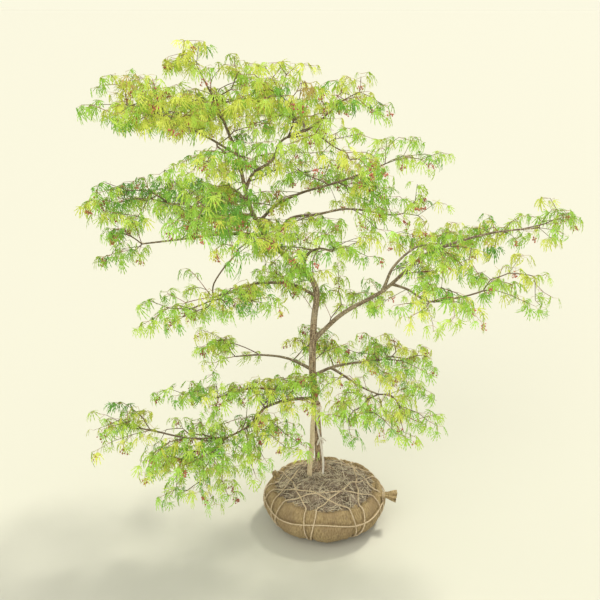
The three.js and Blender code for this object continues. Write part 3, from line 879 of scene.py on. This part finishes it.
bark = Finish("maple_bark", (0.30, 0.24, 0.17), 0.82)
grain_flow = bark.node("Attribute", {"attribute_name": "grain"}, out=1)
girth_flow = bark.node("Attribute", {"attribute_name": "girth"}, out=2)
streaks = bark.noise(grain_flow, (300, 300, 34), 4.0)
patches = bark.noise(grain_flow, (55, 55, 22))
pores = bark.noise(grain_flow, (150, 150, 190), 2.0)
young_tone = bark.blend(patches, 0.35, 0.65, (0.12, 0.085, 0.05), (0.22, 0.175, 0.1))
old_tone = bark.blend(streaks, 0.42, 0.58, (0.13, 0.085, 0.048), (0.43, 0.32, 0.2))
old_tone = bark.blend(patches, 0.52, 0.64, old_tone, (0.52, 0.44, 0.32), 0.5)
tone = bark.blend(girth_flow, 0.005, 0.016, young_tone, old_tone)
tone = bark.blend(pores, 0.57, 0.66, tone, (0.66, 0.55, 0.37), 0.6)
tone = bark.blend(pores, 0.44, 0.34, tone, (0.1, 0.065, 0.035), 0.55)
bark.colour(tone)
bark.bump(streaks * 0.7 + pores * 0.2, 0.0012, 0.8)
wood.data.materials.clear()
wood.data.materials.append(bark.material)
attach(wood, "root")
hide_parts(*LIMBS)


# The tie steadies the trunk on its ball: strips of burlap wound round the trunk under its lowest
# boughs and knotted, a broad tan strap down to the soil on the left and a narrow pale one in front.
TIE_AT = 502 * MM
TIE_BAND = 34 * MM
STRAP_THICK = 1.4 * MM
WINDINGS = 4
# The section of a strap: half widths across, and thicknesses out.
STRAP_SECTION = (
    (-1, -0.5), (-0.5, 0), (0, -0.9), (0.5, 0), (1, -0.5),
    (1, 0.5), (0.5, 1), (0, 0.1), (-0.5, 1), (-1, 0.5),
)


def ribbon(way, width, facing):
    """A flat strap along a way, its flat side turned to a direction, with closed ends."""
    _, across, out = frames(way, facing)
    width = np.broadcast_to(width, len(way))[:, None]
    rows = [way + across * a * width / 2 + out * b * STRAP_THICK for a, b in STRAP_SECTION]
    return np.stack(rows, axis=1).reshape(-1, 3), tube_faces(len(way), len(rows))


def strap(heap, joints, widths, facing):
    """Adds a strap through its joints, each a place and a shift from there in mm."""
    way, marks = evenly(smooth_path([place + np.array(shift) * MM for place, shift in joints]), 5 * MM)
    width = np.interp(marks / marks[-1], np.linspace(0, 1, len(widths)), widths) * MM
    heap.add(*ribbon(way, width, facing))


def trunk_at(height):
    """The trunk's middle and radius at a height."""
    way, _, girth = courses["trunk"]
    return place_at(height, way[:, 2], way), float(np.interp(height, way[:, 2], girth))


tie_rng = np.random.default_rng(21)
tan_strap, pale_strap = Heap(), Heap()
for k in range(WINDINGS):
    start = TIE_AT + TIE_BAND * (k / (WINDINGS - 1) - 0.5)
    slope = tie_rng.uniform(-9, 9) * MM
    width = tie_rng.uniform(9, 13) * MM
    way, facing = [], []
    for turn in np.linspace(0, math.tau, 41):
        place, radius = trunk_at(start + slope * math.sin(turn + k))
        reach = radius + (1.6 + 0.8 * k + 0.5 * math.sin(5 * turn + k)) * MM
        way.append(place + (*polar(reach, turn), 0))
        facing.append((*polar(1, turn), 0))
    (tan_strap if k % 2 else pale_strap).add(*ribbon(way, width, facing))

tie_middle, tie_radius = trunk_at(TIE_AT)
front = tie_middle - (0, tie_radius + 4 * MM, 0)
left_foot = np.array([-62, 10, 212]) * MM
front_foot = np.array([-7, 14, 213]) * MM
left_middle, front_middle = (front + left_foot) / 2, (front + front_foot) / 2
knot = front_middle + np.array([5, -6, 24]) * MM
for shift, widths in ((0, (14, 20, 23, 19)), (4, (9, 13, 12, 15))):
    strap(tan_strap, [
        (front, (-6, 1, 8)), (front, (-13, 0, -60)), (left_middle, (shift - 3, -2 - shift, 0)),
        (left_foot, (shift, -shift, 45)), (left_foot, (shift - 3, -shift, -7)),
    ], widths, (-0.25, -1, 0.1))
strap(pale_strap, [
    (front, (4, 0, 8)), (front, (5, -2, -60)), (front_middle, (4, -3, 0)),
    (front_foot, (1, 0, 55)), (front_foot, (0, 0, -7)),
], (10, 8, 7, 9, 8), (0.25, -1, 0))
for lean, length in ((-14, 34), (10, 26), (22, 15)):
    strap(pale_strap, [
        (knot, (0, 0, 0)), (knot, (lean * 0.6, -5, -0.35 * length)), (knot, (lean, -3, -length)),
    ], (5, 7, 5), (0.1, -1, 0.2))

for name, heap, pale, dark in (
    ("tan_tie", tan_strap, (0.8, 0.68, 0.46), (0.56, 0.44, 0.27)),
    ("pale_tie", pale_strap, (0.9, 0.86, 0.76), (0.66, 0.6, 0.5)),
):
    webbing = Finish(name, pale, 0.85)
    tie_place = webbing.place()
    threads = webbing.noise(tie_place, (900, 900, 60))
    creases = webbing.noise(tie_place, 45)
    tie_tone = webbing.blend(threads, 0.4, 0.62, dark, pale)
    webbing.colour(webbing.blend(creases, 0.5, 0.7, tie_tone, dark, 0.5))
    webbing.bump(threads + creases, 0.001)
    tie_piece = heap.piece(name, [webbing])
    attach(tie_piece, "root")
    if name == "tan_tie":
        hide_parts("trunk_tie")


# Twigs: from the limbs' ends and sides, thin shoots fork and fork again until every part of each
# layer of foliage has its spray. Each is as thick as the sprays that it feeds call for.
rng = np.random.default_rng(11)
SPRAY_SPACING = 70 * MM
CROWDING = {
    "mass_low_left_tier": 1.0, "mass_low_right_back": 0.82, "mass_low_": 0.91,
    "mass_right_arm_inner": 1.3, "mass_right_": 1.16,
    "mass_centre_right": 1.4, "mass_centre_back": 1.5, "mass_centre": 1.15, "mass_middle_": 1.12,
    "mass_upper_": 1.12, "mass_under_": 1.12,
}
BOX_MARGIN = 50 * MM
FLATNESS = 1.45
FRINGE = 34 * MM
FRINGE_CHANCE = 0.26
LEAF_DROP = 24 * MM
FRINGE_FADE = 20 * MM
OPENNESS = -0.12
TWIG_TIP = 1.15 * MM
TWIG_POWER = 0.4
TWIG_STEP = 42 * MM
# What a new twig's way costs: a share of its path back to the limb, and more for turning sharply.
PATH_COST = 0.32
TURN_COST = 0.9
EASY_TURN = 0.35
TWIG_ARCH, TWIG_WANDER = 0.06, 4 * MM
THICK_WOOD = 16 * MM
BARE_TRUNK = 0.3
masses = {name: node for name, node in frame["nodes"].items() if name.startswith("mass_")}
room_low, room_high = np.array(cad_box[0]) + BOX_MARGIN, np.array(cad_box[1]) - BOX_MARGIN


def mass_tree(node):
    """A foliage mass's skin, for finding what is inside it or near it."""
    points = [v.co.copy() for v in node.data.vertices]
    return BVHTree.FromPolygons(points, [list(p.vertices) for p in node.data.polygons])


def is_inside(tree, point):
    """Whether a line straight up from a point leaves the mass once more than it enters it."""
    hits, start = 0, Vector(point)
    while hits < 12:
        place = tree.ray_cast(start, Vector((0, 0, 1)))[0]
        if place is None:
            break
        hits += 1
        start = place + Vector((0, 0, 1e-5))
    return hits % 2 == 1


def spray_places(name, tree):
    """Places for sprays: through a mass, left open here and there, and thinning out round its edge."""
    low, high = (np.array(corner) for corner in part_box(name))
    low, high = np.maximum(low - FRINGE, room_low), np.minimum(high + FRINGE, room_high)
    size = high - low
    apart = SPRAY_SPACING * next((f for start, f in CROWDING.items() if name.startswith(start)), 1.0)
    tries = int(size[0] * size[1] * size[2] * FLATNESS / apart ** 3 * 9) + 60
    kept = []
    for point in rng.uniform(low, high, (tries, 3)):
        chance = 1.0
        if not is_inside(tree, point):
            gap = (tree.find_nearest(point)[0] - Vector(point)).length
            chance = FRINGE_CHANCE * math.exp(-gap / FRINGE_FADE) if gap < FRINGE else 0
        opening = noise.noise(Vector(point * 8.5) + Vector((3, 1, 7)))
        if rng.random() > chance or opening < OPENNESS:
            continue
        if kept:
            spacing = apart * (1 + 0.5 * noise.noise(Vector(point * 6)))
            gaps = (np.array(kept) - point) * (1, 1, FLATNESS)
            if (np.linalg.norm(gaps, axis=1) < spacing).any():
                continue
        kept.append(point)
    return np.array(kept) + (0, 0, LEAF_DROP)


class Growth:
    """A set of twig nodes. Each has a place, its parent, and how much path lies below it."""

    def __init__(self):
        self.places, self.parents, self.path, self.tips = [], [], [], []

    def add(self, place, parent=-1, path=0):
        self.places.append(np.asarray(place, float))
        self.parents.append(parent)
        self.path.append(path)
        return len(self.places) - 1

    def reach(self, parent, target, arch, wander):
        """Grows nodes from a parent to a target and returns the last one."""
        start = self.places[parent]
        distance = np.linalg.norm(target - start)
        steps = max(1, math.ceil(distance / TWIG_STEP))
        for i in range(1, steps + 1):
            share = i / steps
            place = start + (target - start) * share
            if i < steps:
                place = place + rng.normal(0, wander, 3)
                place[2] += arch * distance * 4 * share * (1 - share)
            parent = self.add(place, parent, self.path[parent] + distance / steps)
        return parent

    def attach(self, target):
        """Grows a tip at a target from the node that is best placed to feed it."""
        places = np.array(self.places)
        gap = target - places
        distance = np.linalg.norm(gap, axis=1)
        cost = distance + PATH_COST * np.array(self.path)
        for i in np.argsort(cost)[:12]:
            before = self.parents[i]
            if before >= 0:
                travel = places[i] - places[before]
                ahead = np.dot(travel, gap[i]) / (np.linalg.norm(travel) * distance[i] + 1e-9)
                cost[i] += distance[i] * max(0, EASY_TURN - ahead) * TURN_COST
        self.tips.append(self.reach(int(np.argmin(cost)), target, TWIG_ARCH, TWIG_WANDER))

    def smooth(self, rounds=3):
        """Eases the bends of everything between the roots and the tips."""
        places = np.array(self.places)
        parents = np.array(self.parents)
        linked = np.nonzero(parents >= 0)[0]
        loose = parents >= 0
        loose[self.tips] = False
        count = np.zeros(len(places))
        np.add.at(count, parents[linked], 1)
        for _ in range(rounds):
            total = np.zeros_like(places)
            np.add.at(total, parents[linked], places[linked])
            for i in np.nonzero(loose & (count > 0))[0]:
                places[i] = 0.5 * places[i] + 0.25 * places[parents[i]] + 0.25 * total[i] / count[i]
        self.places = list(places)

    def loads(self):
        """How many sprays each node feeds."""
        load = np.zeros(len(self.places))
        load[self.tips] = 1
        for i in range(len(load) - 1, -1, -1):
            if self.parents[i] >= 0:
                load[self.parents[i]] += load[i]
        return np.maximum(load, 1)


def nearest_limb(middle):
    """The best place on a limb to feed a layer from: near, and not above it."""
    gap = middle - samples
    distance = np.linalg.norm(gap, axis=1)
    above = np.maximum(0, -gap[:, 2] / distance)
    usable = sample_along > 0.03
    lifted = samples[:, 2] > SOIL_TOP + BARE_TRUNK
    cost = distance * (1 + 0.9 * above) + np.where(usable & lifted, 0, 9)
    return int(np.argmin(cost))


sprays = []
twigs = Heap()


def draw_growth(growth, layer):
    """Smooths a growth, draws its twigs and notes the sprays at its tips for the layer's leaves."""
    growth.smooth()
    loads = growth.loads()
    children = [[] for _ in growth.places]
    for i, parent in enumerate(growth.parents):
        if parent >= 0:
            children[parent].append(i)
    starts = [(i, child) for i, kids in enumerate(children) if growth.parents[i] < 0 for child in kids]
    while starts:
        base, tip = starts.pop()
        chain = [base, tip]
        while children[chain[-1]]:
            kids = sorted(children[chain[-1]], key=lambda k: -loads[k])
            starts.extend((chain[-1], kid) for kid in kids[1:])
            chain.append(kids[0])
        path = np.array([growth.places[i] for i in chain])
        radii = TWIG_TIP * loads[chain] ** TWIG_POWER
        radii[0] = radii[1]
        thick = radii[0] > 2 * MM
        corners, faces = tube(path, radii, 6 if thick else 4)
        twigs.add(corners, faces, 0 if thick else int(rng.integers(0, 3)))
    for tip in growth.tips:
        before = growth.places[growth.parents[tip]]
        sprays.append((layer, growth.places[tip], growth.places[tip] - before))


mass_trees = {name: mass_tree(node) for name, node in masses.items()}
mass_middles = {name: sum(np.array(corner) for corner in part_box(name)) / 2 for name in masses}
for name, tree in mass_trees.items():
    low, high = (np.array(corner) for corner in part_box(name))
    middle = mass_middles[name]
    growth = Growth()
    box = ((samples > low - 0.01) & (samples < high + 0.01)).all(axis=1)
    inner = [i for i in np.nonzero(box)[0] if is_inside(tree, samples[i]) and sample_girth[i] < THICK_WOOD]
    places = spray_places(name, tree)
    for i in inner[::3] + inner[-1:]:
        growth.add(samples[i])
    if not inner:
        i = nearest_limb(middle)
        root = growth.add(samples[i])
        toward = samples[i] - middle
        entry = middle + toward * 0.35 * np.min(np.abs((high - low) / 2) / np.maximum(np.abs(toward), 1e-6))
        first = samples[i] + 0.35 * (entry - samples[i]) + sample_dir[i] * 0.05
        bend = growth.reach(root, first, 0.02, 0.003)
        growth.reach(bend, entry, 0.05, 0.004)
    start = np.array(growth.places)
    gaps = [np.linalg.norm(start - place, axis=1).min() for place in places]
    for index in np.argsort(gaps):
        growth.attach(places[index])
    draw_growth(growth, name)

# Between the layers the limbs carry loose sprigs of their own.
SPRIG_GAPS = (80 * MM, 170 * MM)
SPRIG_LENGTHS = (70 * MM, 230 * MM)
SPRIG_FROM_HEIGHT = 0.62
for limb_name, (way, marks, girth) in courses.items():
    at = 90 * MM
    while at < marks[-1]:
        i = int(np.searchsorted(marks, at))
        at += rng.uniform(*SPRIG_GAPS)
        root = way[min(i, len(way) - 1)]
        in_layer = any(is_inside(tree, root) for tree in mass_trees.values())
        if root[2] < SPRIG_FROM_HEIGHT - 0.1 * (limb_name != "trunk") or in_layer:
            continue
        out = np.array([*polar(1, rng.uniform(0, math.tau)), rng.uniform(-0.25, 0.75)])
        length = rng.uniform(*SPRIG_LENGTHS)
        growth = Growth()
        growth.add(root)
        for _ in range(int(2 + length * 16)):
            share = rng.uniform(0.45, 1.0)
            aim = root + out * length * share + rng.normal(0, 0.22 * length, 3) * (1, 1, 0.6)
            growth.attach(np.clip(aim, room_low, room_high))
        layer = min(masses, key=lambda name: np.linalg.norm(mass_middles[name] - growth.places[-1]))
        draw_growth(growth, layer)

twig_finishes = [
    Finish("twig_brown", (0.15, 0.105, 0.062), 0.7),
    Finish("twig_olive", (0.18, 0.165, 0.06), 0.65),
    Finish("twig_red", (0.24, 0.09, 0.05), 0.65),
]


# Leaves: each is a hand of seven narrow toothed lobes on a thin stalk, in opposite pairs along the
# shoot. They hang, and the youngest are tinged with bronze.
LOBES = ((0, 1.0), (33, 0.94), (-33, 0.94), (70, 0.76), (-70, 0.76), (116, 0.45), (-116, 0.45))
LOBE_EDGE = ((0.24, 0.042), (0.36, 0.017), (0.55, 0.054), (0.66, 0.017), (0.82, 0.035))
STALK = 0.5
leaf_rng = np.random.default_rng(5)
TEMPLATES = 16
STALK_FACES = 6


def leaf_template(droop, hang, curl, spread):
    """One leaf of unit lobe length: stalk from the origin along +Y, blade tipped down by hang."""
    corners, faces = [], []
    stalk_end = np.array([0, STALK * 0.96, -0.06])
    for place, radius in ((np.zeros(3), 0.016), (stalk_end, 0.012)):
        for turn in (0, 2.1, 4.2):
            corners.append(place + radius * np.array([math.cos(turn), 0, math.sin(turn)]))
    for i in range(3):
        j = (i + 1) % 3
        faces += [(i, j, 3 + j), (i, 3 + j, 3 + i)]
    tip_down, tip_cos = math.sin(hang), math.cos(hang)
    for turn, length in LOBES:
        turn = math.radians(turn) * spread + leaf_rng.normal(0, 0.07)
        sag = droop * leaf_rng.uniform(0.6, 1.5)
        crease = curl * leaf_rng.uniform(0.5, 1.5)
        base = len(corners)
        local = [(0.0, 0.0, 0.0)]
        for t, width in LOBE_EDGE:
            fold = crease * width
            local += [(-width, t, fold), (width, t, fold)]
        local.append((0, 1, 0))
        local += [(0, 0.36, 0), (0, 0.66, 0)]
        for x, y, z in local:
            x, y, z = x * length ** 0.5, y * length, z - sag * (y * length) ** 2
            ahead = y * math.cos(turn) - x * math.sin(turn)
            out = y * math.sin(turn) + x * math.cos(turn)
            z -= 0.12 * abs(math.sin(turn)) * y
            corners.append(stalk_end + np.array([
                out,
                ahead * tip_cos + z * tip_down,
                -ahead * tip_down + z * tip_cos,
            ]))
        rib1, rib2, tip = base + 12, base + 13, base + 11
        for k in (0, 1):
            e1, n1, e2, n2, e3 = (base + 1 + k + 2 * i for i in range(5))
            fan = [
                (base, e1, n1), (base, n1, rib1), (n1, e2, rib1), (rib1, e2, n2),
                (rib1, n2, rib2), (n2, e3, rib2), (rib2, e3, tip),
            ]
            faces += fan if k else [(a, c, b) for a, b, c in fan]
    return np.array(corners), np.array(faces)


templates = [
    leaf_template(
        droop=leaf_rng.uniform(0.15, 0.5),
        hang=math.radians(leaf_rng.uniform(40, 86)),
        curl=leaf_rng.uniform(0.2, 1.3),
        spread=leaf_rng.uniform(0.42, 0.74),
    )
    for _ in range(TEMPLATES)
]

# Leaf colours with painted light and shade, from the sunlit yellow-green to the shaded deep green, and last
# the bronze tinge.
LEAF_PAINTED_LIGHT_AND_BRONZE = [
    (0.64, 0.71, 0.1),
    (0.49, 0.68, 0.085),
    (0.36, 0.61, 0.07),
    (0.22, 0.47, 0.048),
    (0.135, 0.34, 0.036),
    (0.52, 0.41, 0.12),
]
# Each layer's shares of these colours: the top layers take more of the painted sunlit ones, and the shaded
# layers more of the painted shaded ones.
LEAF_PAINTED_LIGHT_SHARES = {
    "foliage_top": (0.44, 0.36, 0.14, 0.03, 0.0, 0.03),
    "foliage_middle": (0.19, 0.4, 0.31, 0.09, 0.01, 0.0),
    "foliage_shade": (0.05, 0.21, 0.35, 0.29, 0.1, 0.0),
}
leaf_finishes = [
    Finish(f"leaf_{i}", shade, 0.5, Specular_IOR_Level=0.35) for i, shade in enumerate(LEAF_PAINTED_LIGHT_AND_BRONZE)
]
leaf_finishes.append(Finish("leaf_stalk", (0.46, 0.33, 0.11), 0.55))

node_slots = {part["node"]: part["material_slot"] for part in frame["record"]["subparts"]}
LEAF_SIZES = (34 * MM, 58 * MM)
SHOOT_REACHES = (28 * MM, 56 * MM)
LEAF_CHANCE = 0.88
OTHER_SHADE_CHANCE = 0.22
FLOWER_CHANCE = 0.32
LEAF_GROUPS = {
    "leaves_top_left": ("mass_top_left", "mass_top_back_left", "mass_top_shoots"),
    "leaves_top_right": ("mass_top_middle", "mass_top_right", "mass_top_back_right"),
    "leaves_upper": ("mass_upper_", "mass_under_"),
    "leaves_middle": ("mass_middle_", "mass_centre"),
    "leaves_left": ("mass_left_", "mass_low_left_tier"),
    "leaves_right": ("mass_right_",),
    "leaves_low_right": ("mass_low_right", "mass_low_centre"),
    "leaves_low_left": ("mass_low_left",),
}


def group_of(layer):
    """The group of leaves that a mass belongs to: the first with a start of its name."""
    return next(group for group, starts in LEAF_GROUPS.items() if layer.startswith(starts))


def turned_leaf(corners, heading, pitch, roll, size):
    """A template leaf turned so that its stalk points along the heading, and scaled."""
    turn = np.array(Euler((pitch, roll, heading - math.pi / 2), "YXZ").to_matrix())
    return corners @ turn.T * size


blossom_places = []
heaps = {group: Heap() for group in LEAF_GROUPS}
for name, place, travel in sprays:
    heap = heaps[group_of(name)]
    shade = int(leaf_rng.choice(len(LEAF_PAINTED_LIGHT_AND_BRONZE), p=LEAF_PAINTED_LIGHT_SHARES[node_slots[name]]))
    ahead = math.atan2(travel[1], travel[0]) + leaf_rng.normal(0, 0.35)
    shoot = unit(np.array([*polar(1, ahead), math.tan(leaf_rng.uniform(-0.45, 0.1))]))
    shoot *= leaf_rng.uniform(*SHOOT_REACHES)
    twigs.add(*tube([place, place + shoot * 0.5, place + shoot], [0.0009, 0.0008, 0.0007], 3), 2)
    for back in (-0.6, 0.15, 1.0):
        foot = place + shoot * back
        for side_sign in (-1, 1):
            if leaf_rng.random() > LEAF_CHANCE:
                continue
            turn = leaf_rng.uniform(0.5, 1.35) * side_sign
            size = leaf_rng.uniform(*LEAF_SIZES)
            corners, faces = templates[int(leaf_rng.integers(TEMPLATES))]
            body = turned_leaf(
                corners, ahead + turn, leaf_rng.uniform(-0.5, 0.35), leaf_rng.normal(0, 0.3), size
            )
            this = shade
            if leaf_rng.random() < OTHER_SHADE_CHANCE:
                this = min(4, max(0, shade + int(leaf_rng.choice((-1, 1))))) if shade < 5 else 0
            tones = np.full(len(faces), this)
            tones[:STALK_FACES] = len(LEAF_PAINTED_LIGHT_AND_BRONZE)
            heap.add(body + foot, faces, tones)
    if leaf_rng.random() < FLOWER_CHANCE:
        blossom_places.append(place + shoot)
for group, heap in heaps.items():
    layers = [name for name in masses if group_of(name) == group]
    piece = heap.piece(group, leaf_finishes)
    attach(piece, "root")
    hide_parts(*layers)

# The twigs' mesh waits for the shoots that carry the leaves.
twig_piece = twigs.piece("twigs", twig_finishes)
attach(twig_piece, "root")

# Flowers: small clusters of dull red ones that hang on thread-like stalks. They are few, as only some
# shoots have a cluster at their tip.
CLUSTER_STALK = 24 * MM
CLUSTER_SPREAD = 13 * MM
FLOWER_SIZE = 4.1 * MM
flower_rng = np.random.default_rng(17)
bead = np.array([(1, 0, 0), (-0.5, 0.87, 0), (-0.5, -0.87, 0), (0, 0, 1), (0, 0, -1)])
bead_faces = np.array([(0, 1, 3), (1, 2, 3), (2, 0, 3), (1, 0, 4), (2, 1, 4), (0, 2, 4)])
clusters = Heap()
for place in blossom_places:
    lean = flower_rng.normal(0, 0.3, 2)
    fork = place + CLUSTER_STALK * flower_rng.uniform(0.7, 1.3) * np.array([*lean, -1])
    middle = (place + fork) / 2 + (0.1 * CLUSTER_STALK * lean[0], 0, 0)
    clusters.add(*tube([place, middle, fork], np.array([0.6, 0.5, 0.5]) * MM, 3), 2)
    colour = int(flower_rng.integers(0, 2))
    for _ in range(int(flower_rng.integers(8, 13))):
        reach = flower_rng.normal(0, 0.55, 3) * CLUSTER_SPREAD + (0, 0, -0.5 * CLUSTER_SPREAD)
        head = fork + reach
        stalk = [fork, fork + reach * 0.55 + (0, 0, 1 * MM), head]
        clusters.add(*tube(stalk, np.array([0.4, 0.35, 0.35]) * MM, 3), 2)
        size = FLOWER_SIZE * flower_rng.uniform(0.7, 1.25)
        clusters.add(bead * size * flower_rng.uniform(0.8, 1.3, 3) + head, bead_faces, colour)
flower_piece = clusters.piece("flowers", [
    Finish("flower_red", (0.56, 0.18, 0.11), 0.6),
    Finish("flower_brown", (0.4, 0.12, 0.07), 0.65),
    Finish("flower_stalk", (0.36, 0.13, 0.06), 0.6),
])
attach(flower_piece, "root")
